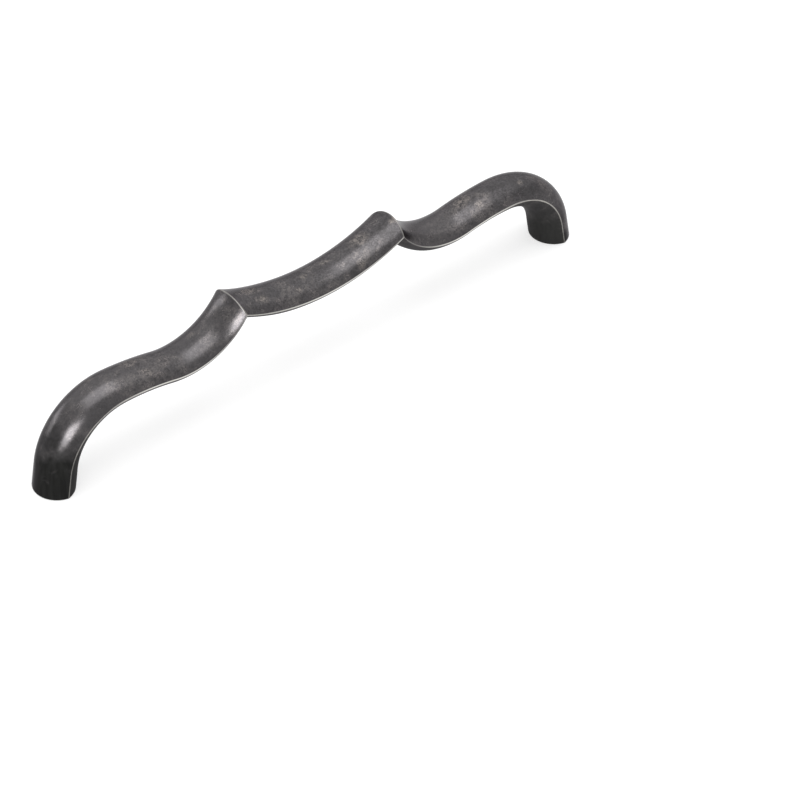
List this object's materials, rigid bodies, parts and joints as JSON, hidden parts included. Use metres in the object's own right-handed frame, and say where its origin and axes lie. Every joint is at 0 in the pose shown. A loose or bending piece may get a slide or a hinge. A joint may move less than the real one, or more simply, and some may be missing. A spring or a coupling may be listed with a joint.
{
  "type": "bar pull",
  "caption": "Cast bar pull with a lens-shaped wavy grip, two mitred peaks and two countersunk tapped feet.",
  "frame": {"origin": "in the mounting plane, midway between the two screw holes", "axes": "+X along the pull from screw hole to screw hole, +Y across it, +Z away from the door or drawer front"},
  "size_m": [0.2042, 0.0154, 0.038],
  "materials": {
    "dark_cast_metal": "dark patinated casting, satin, mottled grey, worn pale along its edges"
  },
  "bodies": {
    "root": {"pull": "dark_cast_metal"}
  },
  "joints": []
}
